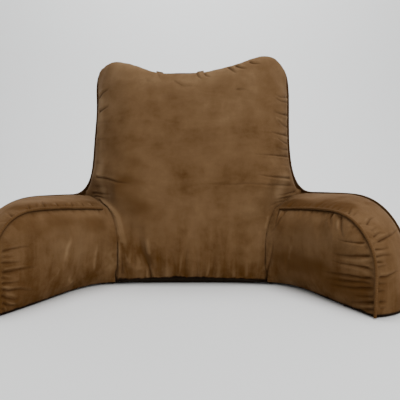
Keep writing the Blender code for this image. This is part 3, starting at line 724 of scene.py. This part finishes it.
def settle(item, held, seam_points):
    """Loose cloth over its filling, held at its seams, as its wrinkles settle."""
    start = points_of(item.data)
    group = item.vertex_groups.new(name="sewn")
    group.add([int(index) for index in np.flatnonzero(held)], 1.0, "REPLACE")
    cloth = item.modifiers.new("cloth", "CLOTH")
    cloth.settings.quality = 5
    cloth.settings.mass = 0.2
    cloth.settings.tension_stiffness = 12
    cloth.settings.compression_stiffness = 12
    cloth.settings.shear_stiffness = 4
    cloth.settings.bending_stiffness = 0.25
    cloth.settings.use_pressure = True
    cloth.settings.uniform_pressure_force = 3.0
    cloth.settings.vertex_group_mass = "sewn"
    cloth.settings.shrink_min = -SPARE_CLOTH
    cloth.settings.effector_weights.gravity = 0
    cloth.collision_settings.use_collision = False
    cloth.point_cache.frame_end = SETTLE_FRAMES
    for number in range(1, SETTLE_FRAMES + 1):
        bpy.context.scene.frame_set(number)
    apply_modifiers(item)
    bpy.context.scene.frame_set(1)

    moved = points_of(item.data) - start
    moved -= (1 - SWELL_SHARE) * averaged(item.data, moved, SWELL_TURNS)
    away, _ = nearest_of(start, seam_points)
    moved *= (WRINKLE_REST + (1 - WRINKLE_REST) * bell(away, WRINKLE_REACH))[:, None]
    length = np.linalg.norm(moved, axis=1, keepdims=True)
    moved *= np.minimum(1, SETTLE_LIMIT / np.maximum(length, 1e-9))
    set_points(item.data, start + moved)


def halve_net(item, chosen, seam_points, snap):
    """Halve the chosen squares, in order, round the new points off and draw those by a seam onto it."""
    mesh = bmesh.new()
    mesh.from_mesh(item.data)
    mesh.faces.ensure_lookup_table()
    edges = dict.fromkeys(edge for index in np.flatnonzero(chosen) for edge in mesh.faces[int(index)].edges)
    bmesh.ops.subdivide_edges(mesh, edges=list(edges), cuts=1, use_grid_fill=True)
    mesh.to_mesh(item.data)
    mesh.free()
    points = points_of(item.data)
    away, spot = nearest_of(points, seam_points)
    sewn = away < snap
    points[sewn] = seam_points[spot[sewn]]
    set_points(item.data, averaged(item.data, points, 2, sewn))


def hidden_faces(node, centres):
    """Faces that another body or the floor covers."""
    near_body, _ = nearest_surface(centres, trees_beside(node))
    return (near_body < HIDDEN_NEAR) | (centres[:, 2] < HIDDEN_LOW)


def lay_cloth(node, seam_points, creases):
    """A body's cover before it is gathered: a settled net, finer where it shows and finest by creases."""
    item, sewn = even_net(node, seam_points)
    settle(item, sewn | (points_of(item.data)[:, 2] < FLOOR_HOLD), seam_points)
    halve_net(item, ~hidden_faces(node, centres_of(item.data)), seam_points, SEAM_SNAP * NET[node] / 2)
    deep_points = np.vstack([path[0] for path, depth, _ in creases if abs(depth) > FINE_DEPTH])
    near_crease, _ = nearest_of(centres_of(item.data), deep_points)
    halve_net(item, near_crease < FINE_REACH, seam_points, SEAM_SNAP * NET[node] / 4)
    return item


def arm_run(points, side):
    """Length along an arm at each point, from the back rest on, and the way the arm's inner face looks."""
    sign = 1 if side == "right" else -1
    way = unit(np.subtract(ARM_FRONT, SEAT_CORNER))
    run = (points[:, 0] * sign - SEAT_CORNER[0]) * way[0] + (points[:, 1] - SEAT_CORNER[1]) * way[1]
    return run, np.array([way[1] * sign, -way[0], 0])


def cord_gathers(points, normals, cords):
    """What the cords do to the cloth beside them: depth and the painted shade of the groove; and how far the
    nearest cord is.
    """
    depth = np.zeros(len(points))
    groove = np.zeros(len(points))
    nearest = np.full(len(points), FAR)
    for number, (name, cord) in enumerate(cords.items()):
        away, step = nearest_of(points, cord)
        nearest = np.minimum(nearest, away)
        along = unit(np.gradient(cord, axis=0))[step]
        run = step * PIPING_STEP + dots(points - cord[step], along)
        for *sizes, seed in CORD_PUCKERS:
            depth += pucker_depth(run, away, *sizes, seed + number)
        if name == "piping_outline":
            # painted shade in the groove beside the outline cord
            groove = np.maximum(groove, OUTLINE_GROOVE_SHADE * fading(away, *OUTLINE_GROOVE))
            continue
        _, inner = arm_run(points, name.removeprefix("piping_arm_"))
        on_inner = smooth_step(normals @ inner, 0.35, 0.65)
        shade = STRIP_GROOVE_SHADE + (1 - STRIP_GROOVE_SHADE) * on_inner
        # painted shade in the groove beside an arm's cord, weaker on the strip's side
        groove = np.maximum(groove, fading(away, *ARM_GROOVE) * shade)
        depth += ARM_GROOVE_DEPTH * fading(away, *ARM_GROOVE_DIP) * on_inner
    return depth, groove, nearest


def close_joint(node, points, moved, joint):
    """Bring the edges of a joint together, and let the cloth bridge the corner between back rest and arm."""
    edge = np.flatnonzero(joint < JOINT_EDGE)
    _, across = nearest_surface(points[edge], trees_beside(node))
    moved[edge] += JOINT_CLOSE * (across - points[edge])
    x, y, z = points.T
    fill = np.where(x < 0, JOINT_FILL["left"], JOINT_FILL["right"]) * bell(joint, JOINT_FILL_REACH)
    fill *= smooth_step(y, *JOINT_FILL_REAR) * smooth_step(z, *JOINT_FILL_FOOT)
    mirror = np.stack([-np.sign(x), np.ones(len(x)), np.ones(len(x))], axis=1)
    moved += fill[:, None] * JOINT_FILL_WAY * mirror


def draw_to_cords(points, moved, cords, joint, joint_points):
    """Draw the cloth beside the cords to them, and further where an arm meets the back rest's side."""
    sides = [joint_points[joint_points[:, 0] * sign > 0] for sign in (-1, 1)]
    corner, _ = nearest_of(points, [side[side[:, 2].argmax()] for side in sides if len(side)])
    at_corner = bell(corner, SHOULDER_REACH)
    loose = (joint > JOINT_SPARE) | (at_corner > 0.5)
    reach = CORD_REACH + CORNER_REACH * at_corner
    for cord in cords.values():
        away, step = nearest_of(moved, cord)
        pull = (away - CORD_DEPTH) * smooth_step(away, reach, PULL_FULL * reach) * loose
        moved += (cord[step] - moved) * (np.maximum(pull, 0) / np.maximum(away, 1e-6))[:, None]


def part_shading(mesh, sewn):
    """Shade the panels on the two sides of a seam apart, so that the seam is crisp."""
    layer = mesh.attributes.new("sharp_edge", "BOOLEAN", "EDGE")
    layer.data.foreach_set("value", sewn[edge_ends(mesh)].all(axis=1))


def make_cover(node, cords, creases, marks):
    """Cloth over one filled body, with its seams, puckers, creases and nap marks, and painted light and
    shade.
    """
    seam_points, joint_points, bottom_points = seams_of(node, cords)
    item = lay_cloth(node, seam_points, creases)
    points = points_of(item.data)
    normals = normals_of(item.data)
    joint, _ = nearest_of(points, joint_points)
    bottom, _ = nearest_of(points, bottom_points)
    seam_away = np.minimum(joint, bottom)
    is_left = points[:, 0] < 0
    low_down = smooth_step(points[:, 2], *JOINT_LOW)

    depth, groove, cord_away = cord_gathers(points, normals, cords)
    run = points[:, 0] if node == "backrest" else arm_run(points, node.removeprefix("arm_"))[0]
    depth += pucker_depth(run, bottom, *BOTTOM_PUCKERS)
    depth += pucker_depth(points[:, 2], joint, *JOINT_PUCKERS)
    creased, line = crease_depth(points, normals, creases)
    depth = (depth + creased) * smooth_step(seam_away, 0, SEAM_REST)
    joint_depth, joint_half = JOINT_DIP
    high_dip = np.where(is_left, 0, JOINT_HIGH_DIP)
    depth += joint_depth * (high_dip + (1 - high_dip) * low_down) * bell(joint, joint_half)
    lumps = bumps_at(points, LUMPS) * smooth_step(np.minimum(seam_away, cord_away), *LUMP_RISE)
    moved = points + normals * (lumps - depth)[:, None]
    close_joint(node, points, moved, joint)
    draw_to_cords(points, moved, cords, joint, joint_points)
    moved[:, 2] = np.maximum(moved[:, 2], CLOTH_FLOOR)
    set_points(item.data, moved)

    # painted shade along the joint: uneven, strongest low down, and on the left only low down
    uneven = np.clip(0.55 + 0.6 * noise_at(points, 60.0, 3.0), 0, 1)
    low_shade, high_shade = JOINT_SHADES
    high_shade = np.where(is_left, 0, high_shade)
    shown = high_shade + (low_shade - high_shade) * low_down
    # painted shade along the foot, up to this height and rippled
    band = BAND["arm"]
    if node == "backrest":
        band = BAND["backrest"] + BAND["bow"] * bell(points[:, 0] - BAND["bow_at"], BAND["bow_half"])
    # painted shade in tucks and painted highlight on ridges
    add_attribute(item.data, "tuck", np.clip(depth / TUCK_FULL, -1, 1))
    # painted shade along the creases' lines
    add_attribute(item.data, "line", line)
    # painted shade in the grooves beside the cords
    add_attribute(item.data, "groove", groove)
    add_attribute(item.data, "joint", bell(joint, JOINT_SHADE) * uneven * shown)
    # nap marks, with painted highlights and patches of painted light and shade
    add_attribute(item.data, "pale", nap_and_painted_light_marks(points, normals, marks))
    rippled = points[:, 2] + bumps_at(points, BAND_RIPPLE)
    add_attribute(item.data, "under", smooth_step(rippled, band, band - BAND_FADE))
    item.data.shade_smooth()
    part_shading(item.data, nearest_of(points, seam_points)[0] < SEAM_TOUCH)
    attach(item, "root")
    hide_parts(node)
    return item


# ---- Piping --------------------------------------------------------------------------------------

def centre_line(node):
    """Middle of a piping's solid, ring by ring, from its end at the floor on the lower-X side."""
    mesh = welded(NODES[node].data, SAME_PLACE)
    floor = min(vert.co.z for vert in mesh.verts)
    ends = [vert for vert in mesh.verts if vert.co.z < floor + END_RING]
    side = min(vert.co.x for vert in ends)
    ring = {vert for vert in ends if vert.co.x < side + 3 * PIPING_RADIUS}
    seen = set(ring)
    middles = []
    while ring:
        middles.append(np.mean(sorted(tuple(vert.co) for vert in ring), axis=0))
        ring = {edge.other_vert(vert) for vert in ring for edge in vert.link_edges} - seen
        seen |= ring
    mesh.free()
    return np.array(middles)


def even_path(points, step):
    """A smooth curve through the points, cut into even steps."""
    padded = np.vstack([2 * points[0] - points[1], points, 2 * points[-1] - points[-2]])
    share = np.linspace(0, 1, 8, endpoint=False)[:, None]
    pieces = []
    for before, start, end, after in zip(padded, padded[1:], padded[2:], padded[3:]):
        bend = 2 * before - 5 * start + 4 * end - after
        twist = -before + 3 * start - 3 * end + after
        pieces.append(start + 0.5 * ((end - before) * share + bend * share**2 + twist * share**3))
    curve = np.vstack([*pieces, points[-1:]])
    lengths = lengths_along(curve)
    return read_at(np.linspace(0, lengths[-1], int(lengths[-1] / step) + 1), lengths, curve)


def piping_path(node):
    return even_path(softened(centre_line(node), 2), PIPING_STEP)


def piping_profile():
    """Section of a piping, towards its seam and across: a round cord with the seam allowance behind it."""
    opening = math.asin(PIPING_TAIL_HALF / PIPING_RADIUS)
    turns = np.linspace(opening, 2 * math.pi - opening, 15)
    cord = [(PIPING_RADIUS * math.cos(turn), PIPING_RADIUS * math.sin(turn)) for turn in turns]
    return [(PIPING_TAIL, PIPING_TAIL_HALF), *cord, (PIPING_TAIL, -PIPING_TAIL_HALF)]


def mesh_of_rings(name, rings, crisp):
    """Skin over a row of rings, both ends covered, with crisp edges above an angle in degrees."""
    rows, count, _ = rings.shape
    faces = []
    for start in range(0, (rows - 1) * count, count):
        for i in range(count):
            after = (i + 1) % count
            faces.append((start + i, start + after, start + count + after, start + count + i))
    faces.append(tuple(range(count)))
    faces.append(tuple(reversed(range((rows - 1) * count, rows * count))))
    mesh = mesh_from(name, rings.reshape(-1, 3), faces)
    opened = bmesh.new()
    opened.from_mesh(mesh)
    bmesh.ops.recalc_face_normals(opened, faces=opened.faces)
    opened.to_mesh(mesh)
    opened.free()
    mesh.shade_smooth()
    mesh.set_sharp_from_angle(angle=math.radians(crisp))
    return mesh


def make_piping(node, path, bodies):
    """Piping laid on its solid's own line, its seam allowance pointing into the bodies that it joins."""
    _, seam = nearest_surface(path, [TREES[name] for name in bodies])
    inward = unit(softened(unit(seam - path), 6))
    tangent = unit(np.gradient(path, axis=0))
    across = unit(np.cross(tangent, inward))
    inward = np.cross(across, tangent)
    profile = piping_profile()
    rings = np.stack([path + inward * a + across * b for a, b in profile], axis=1)
    rings[:, :, 2] = np.maximum(rings[:, :, 2], CORD_FLOOR)
    mesh = mesh_of_rings(f"{node}_cord", rings, 60)
    add_attribute(mesh, "run", np.repeat(np.arange(len(path)) * PIPING_STEP, len(profile)))
    item = new_object(f"{node}_cord", mesh)
    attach(item, "root")
    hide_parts(node)
    return item


# ---- Handle --------------------------------------------------------------------------------------

def make_handle(cover):
    """Strap lying on the crest, with a doubled, box-stitched end on each side."""
    low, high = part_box("handle")
    middle = (low[1] + high[1]) / 2
    half = (high[1] - low[1]) / 2
    crest = tree_of(cover.data)

    def lying(x, y, lift):
        spot = crest.ray_cast(Vector((x, y, 1.0)), Vector((0, 0, -1)))[0]
        return np.array([x, y, spot.z + HANDLE_GAP + lift])

    lift, lift_length = HANDLE_RISE
    rings = []
    for x in np.linspace(low[0], high[0], HANDLE_STATIONS):
        inside = min(x - low[0], high[0] - x)
        layers = 2 - float(smooth_step(inside, HANDLE_END - HANDLE_FOLD, HANDLE_END + HANDLE_FOLD))
        rise = lift * math.sin(math.pi * np.clip((inside - HANDLE_END) / lift_length, 0, 1) / 2)
        rings.append([lying(x, middle + across * half, rise + up * layers * HANDLE_THICKNESS)
                      for across, up in HANDLE_SECTION])
    strap = new_object("handle_strap", mesh_of_rings("handle_strap", np.array(rings), 50))
    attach(strap, "root")
    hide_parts("handle")

    thread = bmesh.new()
    front = middle - half + STITCH_INSET
    rear = middle + half - STITCH_INSET
    for start in (low[0] + STITCH_INSET, high[0] - HANDLE_END + STITCH_INSET):
        stop = start + HANDLE_END - 2 * STITCH_INSET
        corners = [(start, front), (stop, front), (stop, rear), (start, rear)]
        for (x0, y0), (x1, y1) in [*zip(corners, corners[1:] + corners[:1]), corners[::2], corners[1::2]]:
            length = math.hypot(x1 - x0, y1 - y0)
            for place in np.arange(0, length - STITCH * 0.6, STITCH + STITCH_GAP):
                ends = [lying(x0 + (x1 - x0) * s / length, y0 + (y1 - y0) * s / length, 2 * HANDLE_THICKNESS)
                        for s in (place, min(place + STITCH, length))]
                add_stitch(thread, *ends)
    mesh = bpy.data.meshes.new("handle_thread")
    thread.to_mesh(mesh)
    thread.free()
    mesh.shade_smooth()
    stitches = new_object("handle_thread", mesh)
    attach(stitches, "root")
    return strap, stitches


def add_stitch(thread, start, end):
    """A short thread, thickest in its middle and dipping into the cloth at both ends."""
    way = Vector(end - start)
    turn = way.to_track_quat("X", "Z")
    rings = []
    for share, size, dip in STITCH_FORM:
        ring = []
        for side in range(6):
            angle = side * math.pi / 3
            local = Vector((share * way.length, THREAD_RADIUS * size * math.cos(angle),
                            THREAD_RADIUS * (size * math.sin(angle) + dip)))
            ring.append(thread.verts.new(Vector(start) + turn @ local))
        rings.append(ring)
    for first, second in zip(rings, rings[1:]):
        for side in range(6):
            other = (side + 1) % 6
            thread.faces.new((first[side], first[other], second[other], second[side]))
    thread.faces.new(rings[0][::-1])
    thread.faces.new(rings[-1])


# ---- Materials -----------------------------------------------------------------------------------

class Wire:
    """A shader value: arithmetic on it adds Math nodes."""

    def __init__(self, shader, socket):
        self.shader = shader
        self.socket = socket

    def maths(self, operation, *values):
        return self.shader.node("Math", {"operation": operation}, dict(enumerate(values)))

    def __add__(self, other):
        return self.maths("ADD", self, other)

    def __sub__(self, other):
        return self.maths("SUBTRACT", self, other)

    def __rsub__(self, other):
        return self.maths("SUBTRACT", other, self)

    def __mul__(self, other):
        return self.maths("MULTIPLY", self, other)

    __radd__ = __add__
    __rmul__ = __mul__

    def at_least(self, other):
        return self.maths("MAXIMUM", self, other)

    def wave(self):
        return self.maths("SINE", self)

    def clamped(self):
        return self.shader.node("Clamp", {}, {0: self, 1: 0.0, 2: 1.0})

    def ramp(self, low, high):
        """Smoothly from 0 to 1 as this goes from low to high."""
        return self.shader.node("MapRange", {"interpolation_type": "SMOOTHSTEP"}, {0: self, 1: low, 2: high})


class Shader:
    """A material and the nodes in it."""

    def __init__(self, name):
        self.material = bpy.data.materials.new(name)
        self.material.use_nodes = True
        self.tree = self.material.node_tree
        self.surface = self.tree.nodes["Principled BSDF"]

    def node(self, kind, settings, inputs, output=0):
        node = self.tree.nodes.new(f"ShaderNode{kind}")
        for key, value in settings.items():
            setattr(node, key, value)
        for key, value in inputs.items():
            self.feed(node.inputs[key], value)
        return Wire(self, node.outputs[output])

    def feed(self, socket, value):
        if isinstance(value, Wire):
            self.tree.links.new(value.socket, socket)
        else:
            socket.default_value = value

    def place(self):
        return self.node("TexCoord", {}, {}, "Object")

    def scaled(self, vector, factors):
        return self.node("VectorMath", {"operation": "MULTIPLY"}, {0: vector, 1: factors})

    def noise(self, vector, scale, detail=2.0, roughness=0.5, distortion=0.0):
        return self.node("TexNoise", {}, {"Vector": vector, "Scale": scale, "Detail": detail,
                                          "Roughness": roughness, "Distortion": distortion})

    def attribute(self, name):
        return self.node("Attribute", {"attribute_name": name}, {}, "Fac")

    def mix(self, factor, first, second):
        return self.node("Mix", {"data_type": "RGBA"}, {0: factor, 6: first, 7: second}, 2)

    def bump(self, height, strength, distance, below=None):
        inputs = {"Strength": strength, "Distance": distance, "Height": height}
        if below is not None:
            inputs["Normal"] = below
        return self.node("Bump", {}, inputs)

    def height(self, vector):
        return self.node("SeparateXYZ", {}, {0: vector}, "Z")

    def set(self, **sockets):
        for name, value in sockets.items():
            self.feed(self.surface.inputs[name.replace("_", " ")], value)


def suede(name):
    """Brushed faux suede: nap patches and smears, fine fibre; painted shade in tucks, seams and low down,
    painted light on ridges and high up.
    """
    shader = Shader(name)
    place = shader.place()
    height = shader.height(place)

    patches = shader.noise(place, 8.0, 3.0, 0.55, 0.8)
    smears = shader.noise(shader.scaled(place, (8, 8, 26)), 1.0, 3.0, 0.6, 0.8)
    streaks = shader.noise(shader.scaled(place, (42, 42, 7)), 1.0, 3.0, 0.6, 0.4)
    mottle = shader.noise(place, 55.0, 4.0, 0.65)
    fibre = shader.noise(place, 900.0, 2.0, 0.6)

    lower = height.ramp(0.20, 0.08)
    brushed = smears * (1 - lower) + streaks * lower
    tone = 0.47 + (patches - 0.5) * 0.8 + (brushed - 0.5) * 0.55 + (mottle - 0.5) * 0.38
    # painted light towards the top and painted shade towards the bottom
    tone = tone + height.ramp(0.30, 0.47) * 0.16 - height.ramp(0.16, 0.0) * 0.24
    tone = (tone + (fibre - 0.5) * 0.25).clamped()

    tuck = shader.attribute("tuck")
    pale = shader.attribute("pale")
    under = shader.attribute("under")
    # painted shade in the grooves beside the cords, along the joints and along the foot
    seam = (shader.attribute("groove") * 0.85).at_least(shader.attribute("joint") * 0.6).at_least(under)
    colour = shader.mix(tone.ramp(0.0, 0.55), SUEDE_DARK, SUEDE_MIDDLE)
    colour = shader.mix(tone.ramp(0.45, 1.0), colour, SUEDE_LIGHT)
    # painted shade in tucks and painted highlight on ridges
    colour = shader.mix(tuck.ramp(0.05, 0.75) * 0.60, colour, SUEDE_DARK)
    colour = shader.mix(tuck.ramp(-0.05, -0.40) * 0.40, colour, SUEDE_LIGHT)
    # nap marks, with painted highlights and patches of painted light and shade
    colour = shader.mix(pale.ramp(0.0, 1.0) * 0.75, colour, SUEDE_PALE)
    colour = shader.mix(pale.ramp(0.0, -1.0) * 0.8, colour, SUEDE_DARK)
    # painted shade along the creases' lines
    colour = shader.mix(shader.attribute("line") * 0.55, colour, SEAM_SHADE)
    colour = shader.mix(seam, colour, SEAM_SHADE)
    # painted shade along the foot, where the cloth meets the floor
    colour = shader.mix(under * 0.85, colour, PAINTED_FOOT_SHADE)

    soft = shader.bump(mottle * 0.6 + brushed * 0.4, 0.35, 0.0012)
    shader.set(
        Base_Color=colour,
        Roughness=0.82 + (1 - tone) * 0.14,
        Specular_IOR_Level=0.06,
        Sheen_Weight=0.06,
        Sheen_Roughness=0.45,
        Sheen_Tint=(0.70, 0.50, 0.30, 1),
        Normal=shader.bump(fibre, 0.30, 0.0004, soft),
    )
    return shader.material


def piping_cloth(name, shade):
    """The same suede drawn tight over a cord, with slanting strain lines."""
    shader = Shader(name)
    place = shader.place()
    strain = shader.noise(place, 420.0, 3.0, 0.6)
    turns = (shader.attribute("run") * 1600.0 + strain * 4.0).wave()
    patches = shader.noise(place, 30.0, 2.0, 0.6)
    tone = (0.45 + (patches - 0.5) * 0.8 + (strain - 0.5) * 0.5 + turns * 0.06).clamped()
    colour = shader.mix(tone, SUEDE_DARK, SUEDE_MIDDLE)
    # painted shade: the cord keeps the given share of its own colour, and the rest goes dark
    colour = shader.mix(1.0 - shade, colour, SEAM_SHADE)
    soft = shader.bump(turns, 0.25, 0.0003)
    shader.set(
        Base_Color=colour,
        Roughness=0.80 + (1 - tone) * 0.15,
        Specular_IOR_Level=0.06,
        Sheen_Weight=0.06,
        Sheen_Roughness=0.45,
        Sheen_Tint=(0.75, 0.58, 0.42, 1),
        Normal=shader.bump(strain, 0.3, 0.0003, soft),
    )
    return shader.material


def thread_material():
    shader = Shader("brown_thread")
    twist = shader.noise(shader.place(), 2600.0)
    shader.set(
        Base_Color=shader.mix(twist, SEAM_SHADE, SUEDE_MIDDLE),
        Roughness=0.5 + twist * 0.2,
        Normal=shader.bump(twist, 0.4, 0.0002),
    )
    return shader.material


def paint(item, material):
    item.data.materials.clear()
    item.data.materials.append(material)


# ---- Stage, light and camera ---------------------------------------------------------------------

def make_stage():
    """A plain pale floor that sweeps up far behind the pillow."""
    turn_start, radius, wall = 1.2, 1.0, 3.0
    profile = [(-4.0, 0.0), (turn_start, 0.0)]
    profile += [(turn_start + radius * math.sin(turn), radius * (1 - math.cos(turn)))
                for turn in np.linspace(0, math.pi / 2, 25)[1:]]
    profile.append((turn_start + radius, wall))
    points = [(side, y, z) for y, z in profile for side in (-6.0, 6.0)]
    faces = [(2 * i, 2 * i + 1, 2 * i + 3, 2 * i + 2) for i in range(len(profile) - 1)]
    item = new_object("pale_floor", mesh_from("pale_floor", points, faces))
    item.data.shade_smooth()
    shader = Shader("pale_floor")
    shader.set(Base_Color=FLOOR_COLOUR, Roughness=0.9, Specular_IOR_Level=0.1)
    paint(item, shader.material)


def make_light(name, place, aim, size, watts, colour):
    data = bpy.data.lights.new(name, "AREA")
    data.shape = "DISK"
    data.size = size
    data.energy = watts
    data.color = colour
    item = new_object(name, data)
    item.location = place
    item.rotation_euler = (Vector(aim) - Vector(place)).to_track_quat("-Z", "Y").to_euler()


def make_sky():
    world = bpy.data.worlds.new("pale_room")
    bpy.context.scene.world = world
    world.use_nodes = True
    background = world.node_tree.nodes["Background"]
    background.inputs["Color"].default_value = SKY_COLOUR
    background.inputs["Strength"].default_value = SKY_STRENGTH


def make_camera():
    data = bpy.data.cameras.new("eye")
    data.sensor_width = SENSOR
    data.lens = SENSOR * FOCAL_PIXELS / PICTURE_PIXELS
    data.clip_start = 0.05
    item = new_object("eye", data)
    item.location = EYE
    item.rotation_euler = (math.pi / 2 - EYE_PITCH, 0, 0)
    bpy.context.scene.camera = item


# ---- The pillow ----------------------------------------------------------------------------------

def build():
    make_stage()
    make_sky()
    for light in LIGHTS:
        make_light(*light)
    make_camera()

    cloth = suede("suede")
    cords = {node: piping_path(node) for node in NODES if node.startswith("piping")}
    creases = [(seen_path(places), depth / MILLIMETRES, width / MILLIMETRES)
               for depth, width, *places in CREASES]
    marks = [(seen_path(places), strength, width / MILLIMETRES) for strength, width, *places in MARKS]
    covers = {node: make_cover(node, cords, creases, marks) for node in BODIES}
    for cover in covers.values():
        paint(cover, cloth)
    for side in ("right", "left"):
        node = f"piping_arm_{side}"
        paint(make_piping(node, cords[node], [f"arm_{side}"]), piping_cloth(f"arm_cord_{side}", 1.0))
    # the outline cord is painted darker, as shade, keeping 0.45 of its own colour
    paint(make_piping("piping_outline", cords["piping_outline"], BODIES), piping_cloth("outline_cord", 0.45))
    strap, thread = make_handle(covers["backrest"])
    paint(strap, cloth)
    paint(thread, thread_material())


build()
